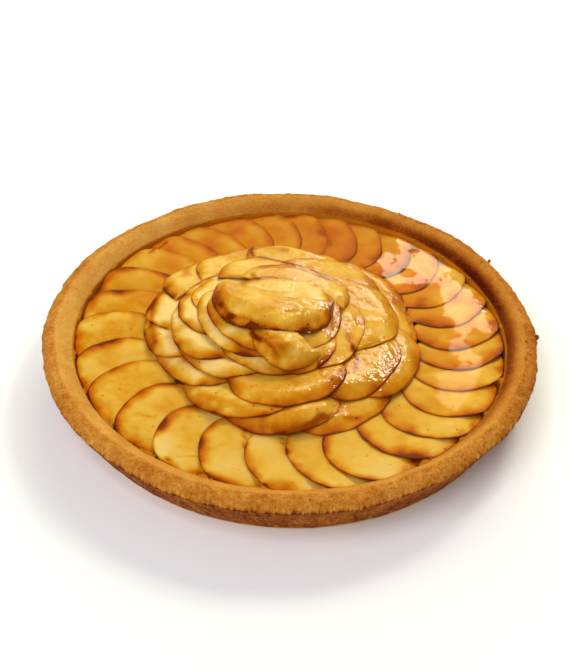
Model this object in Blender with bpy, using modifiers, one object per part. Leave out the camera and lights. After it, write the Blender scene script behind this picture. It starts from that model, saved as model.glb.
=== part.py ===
"""Apple crostata: a shortcrust case with a ring of overlapping apple slices and an apple rose.

Every slice is its own solid.  The ring slices follow one shared stepped surface, so each lies
on its neighbour.  The rose is built the way a baker builds it: slice after slice is laid down
and settles softly on what is already there.
"""
import math

import bmesh
import bpy
import numpy as np

# ---------------------------------------------------------------- driving dimensions, in metres
COLLECTION = "apple_crostata"

CASE_RADIUS = 0.1300          # widest point, at the break of the wall
BASE_RADIUS = 0.1176          # flat underside
CREST_RADIUS = 0.1228         # highest line of the rim
LIP_RADIUS = 0.1146           # inner edge of the pale band
BREAK_HEIGHT = 0.0254
CREST_HEIGHT = 0.0300
LIP_HEIGHT = 0.0234
BED_HEIGHT = 0.0136           # level that the ring slices rest on
BED_RADIUS = 0.1136
BOSS_RADIUS = 0.0630          # foot of the filled middle under the rose
BOSS_HEIGHT = 0.0335
BOSS_CURVE = ((0.0, 1.0), (0.32, 0.93), (0.52, 0.79), (0.74, 0.53), (0.93, 0.24), (1.0, 0.0))
BAND_CROWN = 0.62             # share of its climb that the pale band has made half way up
SHOULDER_CROWN = 0.72         # the same for the browned face outside the crest
SHOULDER_SWELL = 0.0010
BREAK_TUCK = (0.0020, 0.0036) # how far in and down the wall turns under the break
WALL_HOLLOW = 0.0018
FOOT_CHAMFER = (0.0008, 0.0006)
CASE_STEPS = 80
RIM_WAVE = 0.0007             # hand-shaped unevenness of the rim
RIM_BLEND = 0.0100            # the unevenness grows in over this distance

ROSE_CENTRE = (-0.0060, 0.0)

# Azimuth of each ring slice's rounded edge in degrees, in laying order round the case.
RING_EDGES = (226.3, 242.0, 256.0, 269.2, 280.2, 294.5, 307.0, 318.7, 331.6, 342.4, 353.6,
              366.0, 378.0, 390.0, 402.0, 413.5, 423.5, 435.0, 445.5, 456.0, 468.5, 480.0,
              491.5, 504.0, 516.0, 529.0, 544.0, 557.0, 572.5)
RING_THICKNESS = 0.0026
RING_GAP = 0.00038
RING_TOP = 0.0238             # top of a slice along its rounded edge
RING_INNER = (0.0650, 9.0)    # inner tip of a slice: radius, and degrees past its rounded edge
RING_OUTER = (0.1040, 26.5)   # outer tip of a slice
RING_BULGE = 0.0290           # chord to rounded edge
RING_BACK = 0.0070            # chord to the hidden core side
RING_LIMIT = 0.1118           # the case holds the slices inside this radius
RING_EASE = 0.0040            # a slice that meets the case curls back over this distance
SWEEP_RADIUS = 0.0830         # the rounded edges bend back inside and outside this radius
SWEEP_OUTWARD = (0.0280, 11.0)   # distance, and degrees of bend there
SWEEP_INWARD = (0.0180, 5.0)
RING_DROOP = 0.0010           # outer ends sink by this much

PETAL_THICKNESS = 0.0020
PETAL_GAP = 0.00040
SLICE_CELLS = (8, 3)

# Rose slices in laying order: azimuth and radius of the rounded edge's middle, and its turn.
OUTER_ROW = dict(length=0.060, width=0.028, slices=(
    (304, 0.0800, 6), (272, 0.0780, 0), (247, 0.0722, -4), (210, 0.0668, 3), (178, 0.0718, 0),
    (157, 0.0735, -2), (134, 0.0775, 0), (112, 0.0765, 4), (80, 0.0780, 0), (40, 0.0775, 0),
    (6, 0.0740, 0), (334, 0.0775, 0)))
SECOND_ROW = dict(length=0.060, width=0.029, slices=(
    (325, 0.0700, 4), (279, 0.0655, 4), (219, 0.0565, 4), (190, 0.0575, -2), (163, 0.0545, 0),
    (140, 0.0500, 0), (95, 0.0570, -4), (52, 0.0675, 0), (12, 0.0640, 0)))
THIRD_ROW = dict(length=0.060, width=0.028, slices=(
    (340, 0.0460, 4), (272, 0.0450, 2), (206, 0.0425, 0), (68, 0.0455, 0)))
INNER_ROW = dict(length=0.052, width=0.026, slices=(
    (338, 0.0330, 4), (84, 0.0280, 0), (216, 0.0375, 0)))
TONGUE = dict(length=0.036, width=0.024, slices=((258, 0.0400, -32),))
CAP = dict(length=0.064, width=0.034, slices=((252, 0.0275, 8),))
CAP_CROWN = 0.0050

HEIGHT_CELL = 0.0010          # cell of the height map that the rose slices settle on
HEIGHT_HALF = 0.1150


# ---------------------------------------------------------------- scene and materials
def clear_scene():
    for obj in list(bpy.data.objects):
        bpy.data.objects.remove(obj, do_unlink=True)


def make_material(name, colour, roughness):
    """A plain Principled material; the colours are linear."""
    material = bpy.data.materials.new(name)
    material.use_nodes = True
    shader = material.node_tree.nodes["Principled BSDF"]
    shader.inputs["Base Color"].default_value = (*colour, 1.0)
    shader.inputs["Roughness"].default_value = roughness
    shader.inputs["Metallic"].default_value = 0.0
    material.diffuse_color = (*colour, 1.0)
    return material


def link_mesh(name, mesh, material, collection):
    """Put a finished mesh into the collection as one smooth-shaded object."""
    mesh.materials.clear()
    mesh.materials.append(material)
    mesh.shade_smooth()
    mesh.set_sharp_from_angle(angle=math.radians(35.0))
    obj = bpy.data.objects.new(name, mesh)
    collection.objects.link(obj)
    return obj


# ---------------------------------------------------------------- pastry case
def case_profile():
    """Radius and height down the section: filled middle, bed, lip, crest, break and underside."""
    rise = BOSS_HEIGHT - BED_HEIGHT
    boss = [(BOSS_RADIUS * share, BED_HEIGHT + rise * height) for share, height in BOSS_CURVE]
    band_middle = 0.5 * (LIP_RADIUS + CREST_RADIUS)
    shoulder_middle = 0.5 * (CREST_RADIUS + CASE_RADIUS) + SHOULDER_SWELL
    tuck_radius = CASE_RADIUS - BREAK_TUCK[0]
    return boss + [
        (BED_RADIUS - 0.0060, BED_HEIGHT),
        (BED_RADIUS, BED_HEIGHT),
        (LIP_RADIUS, LIP_HEIGHT),
        (band_middle, LIP_HEIGHT + BAND_CROWN * (CREST_HEIGHT - LIP_HEIGHT)),
        (CREST_RADIUS, CREST_HEIGHT),
        (shoulder_middle, BREAK_HEIGHT + SHOULDER_CROWN * (CREST_HEIGHT - BREAK_HEIGHT)),
        (CASE_RADIUS, BREAK_HEIGHT),
        (tuck_radius, BREAK_HEIGHT - BREAK_TUCK[1]),
        (0.5 * (tuck_radius + BASE_RADIUS), 0.5 * BREAK_HEIGHT - WALL_HOLLOW),
        (BASE_RADIUS, FOOT_CHAMFER[1]),
        (BASE_RADIUS - FOOT_CHAMFER[0], 0.0),
        (0.0, 0.0),
    ]


def rim_wave(azimuth):
    """Gentle unevenness of the rim; even harmonics keep the outline balanced about its axis."""
    return (0.55 * np.sin(2 * azimuth + 0.6) + 0.45 * np.sin(4 * azimuth + 2.1)
            + 0.30 * np.sin(6 * azimuth + 4.0) + 0.35 * np.sin(10 * azimuth + 1.3)
            + 0.25 * np.sin(18 * azimuth + 0.4))


def build_case(material, collection):
    """Turn the section about the axis, then press the rim slightly out of round."""
    profile = case_profile()
    section = bpy.data.meshes.new("case_section")
    links = [(i, i + 1) for i in range(len(profile) - 1)]
    section.from_pydata([(r, 0.0, z) for r, z in profile], links, [])
    turned = bpy.data.objects.new("case_section", section)
    collection.objects.link(turned)
    screw = turned.modifiers.new("turn", "SCREW")
    screw.axis = "Z"
    screw.angle = 2.0 * math.pi
    screw.steps = CASE_STEPS
    screw.render_steps = CASE_STEPS
    screw.use_merge_vertices = True
    screw.merge_threshold = 0.00001
    depsgraph = bpy.context.evaluated_depsgraph_get()
    mesh = bpy.data.meshes.new_from_object(turned.evaluated_get(depsgraph))
    bpy.data.objects.remove(turned, do_unlink=True)

    points = np.empty(len(mesh.vertices) * 3)
    mesh.vertices.foreach_get("co", points)
    points = points.reshape(-1, 3)
    radius = np.hypot(points[:, 0], points[:, 1])
    azimuth = np.arctan2(points[:, 1], points[:, 0])
    rim_part = np.clip((radius - BED_RADIUS) / RIM_BLEND, 0.0, 1.0)
    rim_part = rim_part * np.clip(points[:, 2] / RIM_BLEND, 0.0, 1.0)
    stretch = 1.0 + RIM_WAVE * rim_wave(azimuth) * rim_part / np.maximum(radius, 0.01)
    middle_part = np.clip((0.1000 - radius) / 0.0350, 0.0, 1.0) * (points[:, 2] > 0.5 * BED_HEIGHT)
    points[:, 0] = points[:, 0] * stretch + ROSE_CENTRE[0] * middle_part
    points[:, 1] = points[:, 1] * stretch + ROSE_CENTRE[1] * middle_part
    points[:, 2] += 0.8 * RIM_WAVE * rim_wave(azimuth + 1.1) * rim_part
    mesh.vertices.foreach_set("co", points.ravel())
    mesh.update()
    return link_mesh("crust", mesh, material, collection)


# ---------------------------------------------------------------- one apple slice
def slice_grid(cells):
    """Lengthwise s from -1 to 1 and crosswise w from 0 at the rounded edge to 1 at the core side."""
    along = np.sin(0.5 * math.pi * np.linspace(-1.0, 1.0, cells[0] + 1))
    across = np.linspace(0.0, 1.0, cells[1] + 1) ** 1.5
    return np.meshgrid(along, across, indexing="ij")


def half_moon(s, w, length, bulge, back, blunt=0.0040):
    """Plan of a slice: a half ellipse on the chord, and a shallow core side behind it."""
    arch = (1.0 - np.abs(s) ** 2.3).clip(0.0) ** (1.0 / 2.3)
    front = blunt + (bulge - blunt) * arch
    rear = -back * (1.0 - s ** 2)
    return 0.5 * length * s, front + w * (rear - front)


def slice_body(name, x, y, z, thickness, material, collection):
    """Raise a grid of underside points into a closed slice with a thinner rounded edge."""
    rows, columns = x.shape
    bm = bmesh.new()
    grid = bmesh.ops.create_grid(bm, x_segments=rows - 1, y_segments=columns - 1, size=1.0)
    verts = grid["verts"]
    order = sorted(range(len(verts)), key=lambda k: (round(verts[k].co.x, 4), round(verts[k].co.y, 4)))
    under = [verts[k] for k in order]
    for vert, point in zip(under, zip(x.ravel(), y.ravel(), z.ravel())):
        vert.co = point
    edge = np.ones_like(x)
    edge[:, 0] = 0.60
    edge[0, :] = edge[-1, :] = 0.70
    lift = dict(zip(under, (thickness * edge).ravel()))
    raised = bmesh.ops.extrude_face_region(bm, geom=bm.faces[:])
    for element in raised["geom"]:
        if isinstance(element, bmesh.types.BMVert):
            nearest = min(under, key=lambda v: (v.co - element.co).length_squared)
            element.co.z += lift[nearest]
    bmesh.ops.recalc_face_normals(bm, faces=bm.faces[:])
    mesh = bpy.data.meshes.new(name)
    bm.to_mesh(mesh)
    bm.free()
    return link_mesh(name, mesh, material, collection)


# ---------------------------------------------------------------- ring of slices
def ring_index(azimuth):
    """Slice number at an azimuth in radians, counted on without a break from lap to lap."""
    count = len(RING_EDGES)
    edges = np.radians(RING_EDGES)
    laps = np.concatenate([edges - 2.0 * math.pi, edges, edges + 2.0 * math.pi])
    return np.interp(azimuth, laps, np.arange(-count, 2 * count))


def edge_sweep(radius):
    """How far the rounded edges trail behind a straight spoke, in radians."""
    outward = ((radius - SWEEP_RADIUS) / SWEEP_OUTWARD[0]).clip(0.0) ** 2
    inward = ((SWEEP_RADIUS - radius) / SWEEP_INWARD[0]).clip(0.0, 1.4) ** 2
    return np.radians(SWEEP_OUTWARD[1] * outward + SWEEP_INWARD[1] * inward)


def ring_underside(x, y, index):
    """Underside height of ring slice `index`: a stepped surface that all the slices share."""
    radius = np.hypot(x, y)
    azimuth = np.arctan2(y, x)
    centre = math.radians(RING_EDGES[index] + 12.0)
    azimuth = azimuth + 2.0 * math.pi * np.round((centre - azimuth) / (2.0 * math.pi))
    level = index - ring_index(azimuth - edge_sweep(radius))
    sway = (0.00035 * np.sin(5 * azimuth + 60.0 * radius)
            + 0.00030 * np.sin(9 * azimuth - 110.0 * radius + 2.0))
    droop = RING_DROOP * ((radius - 0.0950) / 0.0160).clip(0.0) ** 2
    return RING_TOP - RING_THICKNESS + (RING_THICKNESS + RING_GAP) * level + sway - droop


def ring_plan(s, w, index, rng):
    """Plan points of ring slice `index`, kept inside the case."""
    azimuth = math.radians(RING_EDGES[index])
    inner_radius = RING_INNER[0] + rng.uniform(-0.0020, 0.0020)
    inner_turn = azimuth + math.radians(RING_INNER[1] + rng.uniform(-0.6, 0.6))
    outer_turn = azimuth + math.radians(RING_OUTER[1] + rng.uniform(-0.8, 0.8))
    bulge = RING_BULGE + rng.uniform(-0.0008, 0.0008)
    tail = inner_radius * np.array((math.cos(inner_turn), math.sin(inner_turn)))
    tip = RING_OUTER[0] * np.array((math.cos(outer_turn), math.sin(outer_turn)))
    along = (tip - tail) / np.linalg.norm(tip - tail)
    outward = np.array((along[1], -along[0]))
    u, v = half_moon(s, w, np.linalg.norm(tip - tail), bulge, RING_BACK)
    middle = 0.5 * (tail + tip)
    x = middle[0] + u * along[0] + v * outward[0]
    y = middle[1] + u * along[1] + v * outward[1]
    radius = np.hypot(x, y)
    excess = (radius - (RING_LIMIT - RING_EASE)).clip(0.0) / RING_EASE
    held = np.where(excess > 0.0, RING_LIMIT - RING_EASE * np.exp(-excess), radius)
    return x * held / radius, y * held / radius


# ---------------------------------------------------------------- laying the rose
class Heap:
    """Height map of everything laid so far; a new slice settles on it without touching."""

    def __init__(self):
        count = int(round(2.0 * HEIGHT_HALF / HEIGHT_CELL)) + 1
        self.axis = np.linspace(-HEIGHT_HALF, HEIGHT_HALF, count)
        x, y = np.meshgrid(self.axis, self.axis, indexing="ij")
        radius = np.hypot(x - ROSE_CENTRE[0], y - ROSE_CENTRE[1])
        section = case_profile()[:7]
        self.top = np.interp(radius, [p[0] for p in section], [p[1] for p in section]) + PETAL_GAP

    def cell(self, value):
        return np.round((value + HEIGHT_HALF) / HEIGHT_CELL).astype(int)

    def add(self, x, y, z):
        """Raise the map to densely sampled top points, with the gap that touching slices keep."""
        for dx in (-0.5, 0.0, 0.5):
            for dy in (-0.5, 0.0, 0.5):
                i = self.cell(x + dx * HEIGHT_CELL)
                j = self.cell(y + dy * HEIGHT_CELL)
                np.maximum.at(self.top, (i, j), z + PETAL_GAP)

    def under(self, x, y):
        """Height of what lies under each plan point."""
        return self.top[self.cell(x), self.cell(y)]


def blend_weights(cells, samples):
    """Bilinear weights that carry the grid's nodes to evenly spread sample points."""
    def one_axis(count, spread):
        place = np.linspace(0.0, count, spread)
        return (1.0 - np.abs(place[:, None] - np.arange(count + 1)[None, :])).clip(0.0)
    lengthwise = one_axis(cells[0], samples[0])
    crosswise = one_axis(cells[1], samples[1])
    return np.einsum("ai,bj->abij", lengthwise, crosswise).reshape(samples[0] * samples[1], -1)


def settle(x, y, heap, weights, crown):
    """Let a limp slice sink until it rests: smooth it, lower it, and push it out of what it meets."""
    shape = x.shape
    floor = heap.under(weights @ x.ravel(), weights @ y.ravel())
    share = (weights ** 2).sum(axis=1)
    z = np.full(shape, floor.max() + 0.002)
    for step in range(160):
        padded = np.pad(z - crown, 1, mode="reflect", reflect_type="odd")
        smooth = 0.25 * (padded[2:, 1:-1] + padded[:-2, 1:-1] + padded[1:-1, 2:] + padded[1:-1, :-2])
        z = z + 0.55 * (smooth + crown - z) - 0.00012
        for _ in range(6):
            sunk = (floor - weights @ z.ravel()).clip(0.0)
            push = (weights * (sunk / share)[:, None]).max(axis=0)
            z = z + push.reshape(shape)
    sunk = floor - weights @ z.ravel()
    return z + max(0.0, float(sunk.max()))


def petal_plan(s, w, azimuth, radius, turn, length, width):
    """Plan points of a rose slice whose rounded edge faces outward at the given azimuth."""
    middle = math.radians(azimuth)
    facing = math.radians(azimuth + turn)
    outward = np.array((math.cos(facing), math.sin(facing)))
    along = np.array((-outward[1], outward[0]))
    apex = np.array(ROSE_CENTRE) + radius * np.array((math.cos(middle), math.sin(middle)))
    u, v = half_moon(s, w, length, width, -0.0020)
    return (apex[0] + u * along[0] + (v - width) * outward[0],
            apex[1] + u * along[1] + (v - width) * outward[1])


def build_ring(heap, material, collection):
    rng = np.random.default_rng(7)
    s, w = slice_grid(SLICE_CELLS)
    weights = blend_weights(SLICE_CELLS, (65, 33))
    for index in range(len(RING_EDGES)):
        x, y = ring_plan(s, w, index, rng)
        z = ring_underside(x, y, index)
        slice_body(f"ring_slice_{index + 1:02d}", x, y, z, RING_THICKNESS, material, collection)
        heap.add(weights @ x.ravel(), weights @ y.ravel(), weights @ (z + RING_THICKNESS).ravel())


def build_rose(heap, material, collection):
    s, w = slice_grid(SLICE_CELLS)
    weights = blend_weights(SLICE_CELLS, (65, 33))
    flat = np.zeros_like(s)
    crown = CAP_CROWN * (1.0 - s ** 2) * (1.0 - (2.0 * w - 1.0) ** 2)
    rows = (("outer_petal", OUTER_ROW, flat), ("second_petal", SECOND_ROW, flat),
            ("third_petal", THIRD_ROW, flat), ("inner_petal", INNER_ROW, flat),
            ("bud_tongue", TONGUE, flat), ("bud_cap", CAP, crown))
    for label, row, arch in rows:
        for number, (azimuth, radius, turn) in enumerate(row["slices"], start=1):
            x, y = petal_plan(s, w, azimuth, radius, turn, row["length"], row["width"])
            z = settle(x, y, heap, weights, arch)
            name = label if len(row["slices"]) == 1 else f"{label}_{number:02d}"
            slice_body(name, x, y, z, PETAL_THICKNESS, material, collection)
            heap.add(weights @ x.ravel(), weights @ y.ravel(), weights @ (z + PETAL_THICKNESS).ravel())


def main():
    clear_scene()
    collection = bpy.data.collections.new(COLLECTION)
    bpy.context.scene.collection.children.link(collection)
    pastry = make_material("shortcrust", (0.56, 0.27, 0.07), 0.62)
    ring_apple = make_material("baked_apple", (0.76, 0.42, 0.05), 0.22)
    rose_apple = make_material("glazed_apple", (0.80, 0.50, 0.08), 0.20)
    heap = Heap()
    build_case(pastry, collection)
    build_ring(heap, ring_apple, collection)
    build_rose(heap, rose_apple, collection)


main()
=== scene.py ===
"""Looks of an apple crostata: a baked shortcrust case, a ring of glazed apple slices and an apple rose.
Lengths are in metres."""
import math

import bpy
import numpy as np
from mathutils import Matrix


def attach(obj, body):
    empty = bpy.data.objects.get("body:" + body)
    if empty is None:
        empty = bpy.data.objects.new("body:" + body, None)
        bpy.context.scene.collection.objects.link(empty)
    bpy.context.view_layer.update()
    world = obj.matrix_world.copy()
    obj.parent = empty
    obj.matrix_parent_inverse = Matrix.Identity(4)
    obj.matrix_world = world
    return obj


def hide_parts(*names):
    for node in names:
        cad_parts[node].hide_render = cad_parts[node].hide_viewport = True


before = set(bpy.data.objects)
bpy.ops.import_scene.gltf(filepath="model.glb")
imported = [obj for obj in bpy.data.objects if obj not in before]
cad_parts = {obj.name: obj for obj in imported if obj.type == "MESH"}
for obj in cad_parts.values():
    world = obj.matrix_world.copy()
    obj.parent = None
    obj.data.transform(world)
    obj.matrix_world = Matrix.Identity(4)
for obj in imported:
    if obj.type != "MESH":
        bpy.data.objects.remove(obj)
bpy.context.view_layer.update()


# ---------------------------------------------------------------------------------- pastry case
# The case is shortcrust, rolled out, pressed into a flared tin and baked until golden.  The rim was
# trimmed level with the tin: inside it stays pale, outside it is grainy and brown, and the wall
# below keeps the fine upright ripples of the dough where it slid down the tin.
CASE_RADIUS = 0.1300
BASE_RADIUS = 0.1176
CREST_RADIUS = 0.1228
LIP_RADIUS = 0.1146
BREAK_HEIGHT = 0.0254
CREST_HEIGHT = 0.0300
LIP_HEIGHT = 0.0234
BED_HEIGHT = 0.0136
BED_RADIUS = 0.1136
BOSS_RADIUS = 0.0630
BOSS_HEIGHT = 0.0335
RIM_WAVE = 0.0007
ROUND_STEPS = 860
SECTION_STEPS = 6000
ROUNDING_STEPS = 45
BIG_LUMPS = 0.00034
FINE_CRUMB = 0.00012
TORN_CRUMB = 0.00040
WALL_RIPPLE = 0.00026


def lattice_noise(points, cell, seed):
    """Smooth noise from -1 to 1: one random value at each corner of a lattice with the given cell,
    blended between the corners by the square rule 3t^2 - 2t^3."""
    place = points / cell + 512.0
    corner = np.floor(place).astype(np.int64)
    share = place - corner
    share = share * share * (3.0 - 2.0 * share)
    total = np.zeros(points.shape[:-1])
    for step in np.ndindex(2, 2, 2):
        key = (corner + np.array(step)) @ np.array((73856093, 19349663, 83492791)) + 7919 * seed
        key = (key ^ (key >> 13)) * 1274126177 & 0x7FFFFFFF
        key = (key ^ (key >> 16)) & 0xFFFF
        weight = np.where(np.array(step) == 1, share, 1.0 - share).prod(axis=-1)
        total = total + weight * (key / 32767.5 - 1.0)
    return total


def rough_noise(points, cell, seed, octaves=3):
    """Sum of lattice noises, each with half the cell and half the height of the one before."""
    return sum(0.5 ** k * lattice_noise(points, cell * 0.5 ** k, seed + 31 * k) for k in range(octaves))


def ease(value, low, high):
    """Smooth step from 0 at low to 1 at high."""
    t = ((value - low) / (high - low)).clip(0.0, 1.0)
    return t * t * (3.0 - 2.0 * t)


def link_piece(name, points, faces, values, material, nodes):
    """Make a smooth mesh piece with its float attributes, and hide the solids that it stands in for."""
    mesh = bpy.data.meshes.new(name)
    mesh.from_pydata(points.reshape(-1, 3).tolist(), [], faces)
    for label, value in values.items():
        kind = "FLOAT_VECTOR" if value.ndim > 1 and value.shape[-1] == 3 else "FLOAT"
        attribute = mesh.attributes.new(label, kind, "POINT")
        field = "vector" if kind == "FLOAT_VECTOR" else "value"
        attribute.data.foreach_set(field, np.ascontiguousarray(value, dtype=np.float32).ravel())
    mesh.materials.append(material)
    mesh.validate()
    mesh.shade_smooth()
    piece = bpy.data.objects.new(name, mesh)
    bpy.context.scene.collection.objects.link(piece)
    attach(piece, "root")
    if nodes:
        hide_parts(*nodes)
    return piece


def case_section():
    """Radius and height down the section, from the axis over the bed, lip, crest and brink to the
    foot: straight runs between corners, rounded by a moving mean.  With them come the places of the
    grid's columns and of the corners, both measured along the section."""
    corners = np.array([
        (0.0, BED_HEIGHT + 0.0030), (0.5 * BOSS_RADIUS, BED_HEIGHT + 0.0020), (BOSS_RADIUS, BED_HEIGHT),
        (BED_RADIUS - 0.0060, BED_HEIGHT), (BED_RADIUS, BED_HEIGHT),
        (BED_RADIUS + 0.0004, 0.5 * (BED_HEIGHT + LIP_HEIGHT)), (LIP_RADIUS, LIP_HEIGHT),
        (0.5 * (LIP_RADIUS + CREST_RADIUS), LIP_HEIGHT + 0.0042), (CREST_RADIUS, CREST_HEIGHT + 0.0003),
        (0.5 * (CREST_RADIUS + CASE_RADIUS) + 0.0012, BREAK_HEIGHT + 0.0036),
        (CASE_RADIUS + 0.0004, BREAK_HEIGHT), (CASE_RADIUS - 0.0021, BREAK_HEIGHT - 0.0038),
        (0.5 * (CASE_RADIUS - 0.0020 + BASE_RADIUS), 0.5 * BREAK_HEIGHT - 0.0018),
        (BASE_RADIUS, 0.0008), (BASE_RADIUS - 0.0010, 0.0), (0.5 * BASE_RADIUS, 0.0), (0.0, 0.0)])
    along = np.concatenate([[0.0], np.cumsum(np.hypot(*np.diff(corners, axis=0).T))])
    bed_edge, inner_wall, underside = along[4], along[5], along[14]
    places = np.concatenate([np.linspace(0.0, bed_edge, 10)[:-1], np.linspace(bed_edge, inner_wall, 4)[:-1],
                             np.linspace(inner_wall, underside, 92), along[15:]])
    fine = np.linspace(0.0, along[-1], SECTION_STEPS)
    smooth = np.array([np.interp(fine, along, corners[:, k]) for k in (0, 1)])
    window = np.hanning(2 * ROUNDING_STEPS + 1)
    window = window / window.sum()
    padded = [np.pad(line, ROUNDING_STEPS, mode="reflect", reflect_type="odd") for line in smooth]
    rounded = np.array([np.convolve(line, window, "valid") for line in padded])
    keep_flat = fine > underside + 0.0005
    rounded = np.where(keep_flat, smooth, rounded)
    radius = np.interp(places, fine, rounded[0])
    height = np.interp(places, fine, rounded[1])
    return radius, height, places, along


def rim_wave(azimuth):
    """Gentle unevenness of the rim, the same as on the solid."""
    return (0.55 * np.sin(2 * azimuth + 0.6) + 0.45 * np.sin(4 * azimuth + 2.1)
            + 0.30 * np.sin(6 * azimuth + 4.0) + 0.35 * np.sin(10 * azimuth + 1.3)
            + 0.25 * np.sin(18 * azimuth + 0.4))


def new_material(name):
    """A material with its nodes, its links and its main shader."""
    material = bpy.data.materials.new(name)
    material.use_nodes = True
    nodes, links = material.node_tree.nodes, material.node_tree.links
    return material, nodes, links, nodes["Principled BSDF"]


def piece_value(nodes, label):
    """Node that reads a value which the piece's mesh holds at its points."""
    node = nodes.new("ShaderNodeAttribute")
    node.attribute_name = label
    return node


def noise_texture(nodes, scale, detail, roughness=0.5):
    """Noise from 0 to 1, finer with scale and detail; roughness is what each octave keeps of the last."""
    node = nodes.new("ShaderNodeTexNoise")
    node.inputs["Scale"].default_value = scale
    node.inputs["Detail"].default_value = detail
    node.inputs["Roughness"].default_value = roughness
    return node


def sum_step(nodes, operation, second=None, third=None):
    """One step of arithmetic; second and third are the operands that no link brings."""
    node = nodes.new("ShaderNodeMath")
    node.operation = operation
    for socket, operand in ((1, second), (2, third)):
        if operand is not None:
            node.inputs[socket].default_value = operand
    return node


def bump_map(nodes, strength, distance):
    """Bump of the given strength and height."""
    node = nodes.new("ShaderNodeBump")
    node.inputs["Strength"].default_value = strength
    node.inputs["Distance"].default_value = distance
    return node


def baking_colours(nodes, stops):
    """Colour ramp through the stops, each a position and a colour."""
    ramp = nodes.new("ShaderNodeValToRGB")
    while len(ramp.color_ramp.elements) < len(stops):
        ramp.color_ramp.elements.new(0.5)
    for element, (position, colour) in zip(ramp.color_ramp.elements, stops):
        element.position = position
        element.color = (*colour, 1.0)
    return ramp


def stain(nodes, colour):
    """Mix that lays a colour over the one below, by a linked factor."""
    node = nodes.new("ShaderNodeMix")
    node.data_type = "RGBA"
    node.inputs["B"].default_value = (*colour, 1.0)
    return node


def join_up(links, wires):
    """Link nodes: each wire is a node, its output, and the node and the input that it leads to."""
    for source, output, target, entry in wires:
        links.new(source.outputs[output], target.inputs[entry])


def shortcrust_material():
    """Baked dough: straw to dark brown with the bake value, which holds painted light and shade as well as
    the baking, flour-fine grain, upright streaks where the streak value says so, amber where the soak
    value says glaze has run into it; matte."""
    material, nodes, links, shader = new_material("baked_shortcrust")
    shader.inputs["Roughness"].default_value = 0.75
    shader.inputs["Specular IOR Level"].default_value = 0.06
    place = nodes.new("ShaderNodeTexCoord")
    bake_and_shade, streak, soak = (piece_value(nodes, label) for label in ("bake_and_shade", "streak", "soak"))
    mottle = noise_texture(nodes, 120.0, 9.0, 0.80)
    mottle_shift = sum_step(nodes, "MULTIPLY_ADD", 0.60, -0.30)
    speckle = noise_texture(nodes, 1300.0, 2.0)
    speckle_shift = sum_step(nodes, "MULTIPLY_ADD", 0.50, -0.25)
    grained = sum_step(nodes, "ADD")
    upright = nodes.new("ShaderNodeMapping")
    upright.inputs["Scale"].default_value = (620.0, 620.0, 70.0)
    ripple = noise_texture(nodes, 1.0, 3.0)
    ripple_shift = sum_step(nodes, "SUBTRACT", 0.45)
    ripple_share = sum_step(nodes, "MULTIPLY")
    toned = sum_step(nodes, "ADD")
    total = sum_step(nodes, "ADD")
    ramp = baking_colours(nodes, (
        (0.0, (0.78, 0.45, 0.100)), (0.25, (0.64, 0.275, 0.040)), (0.50, (0.47, 0.155, 0.014)),
        (0.75, (0.27, 0.052, 0.003)), (1.0, (0.08, 0.009, 0.001))))
    grain = noise_texture(nodes, 900.0, 5.0, 0.7)
    bump = bump_map(nodes, 0.8, 0.0005)
    soaked = stain(nodes, (0.64, 0.24, 0.012))
    join_up(links, (
        (place, "Object", mottle, "Vector"), (mottle, "Fac", mottle_shift, 0),
        (place, "Object", speckle, "Vector"), (speckle, "Fac", speckle_shift, 0),
        (mottle_shift, 0, grained, 0), (speckle_shift, 0, grained, 1),
        (place, "Object", upright, "Vector"), (upright, "Vector", ripple, "Vector"),
        (ripple, "Fac", ripple_shift, 0), (ripple_shift, 0, ripple_share, 0),
        (streak, "Fac", ripple_share, 1), (grained, 0, toned, 0), (ripple_share, 0, toned, 1),
        (toned, 0, total, 0), (bake_and_shade, "Fac", total, 1), (total, 0, ramp, "Fac"),
        (ramp, "Color", soaked, "A"), (soak, "Fac", soaked, "Factor"),
        (soaked, "Result", shader, "Base Color"), (place, "Object", grain, "Vector"),
        (grain, "Fac", bump, "Height"), (bump, "Normal", shader, "Normal")))
    return material


def round_faces(turns, columns):
    """Quads of a grid that closes on itself: `turns` rows round the axis, `columns` points in each."""
    here = np.arange(turns)[:, None] * columns + np.arange(columns - 1)
    there = (np.arange(turns)[:, None] + 1) % turns * columns + np.arange(columns - 1)
    return np.stack([here, here + 1, there + 1, there], axis=-1).reshape(-1, 4).tolist()


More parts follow.
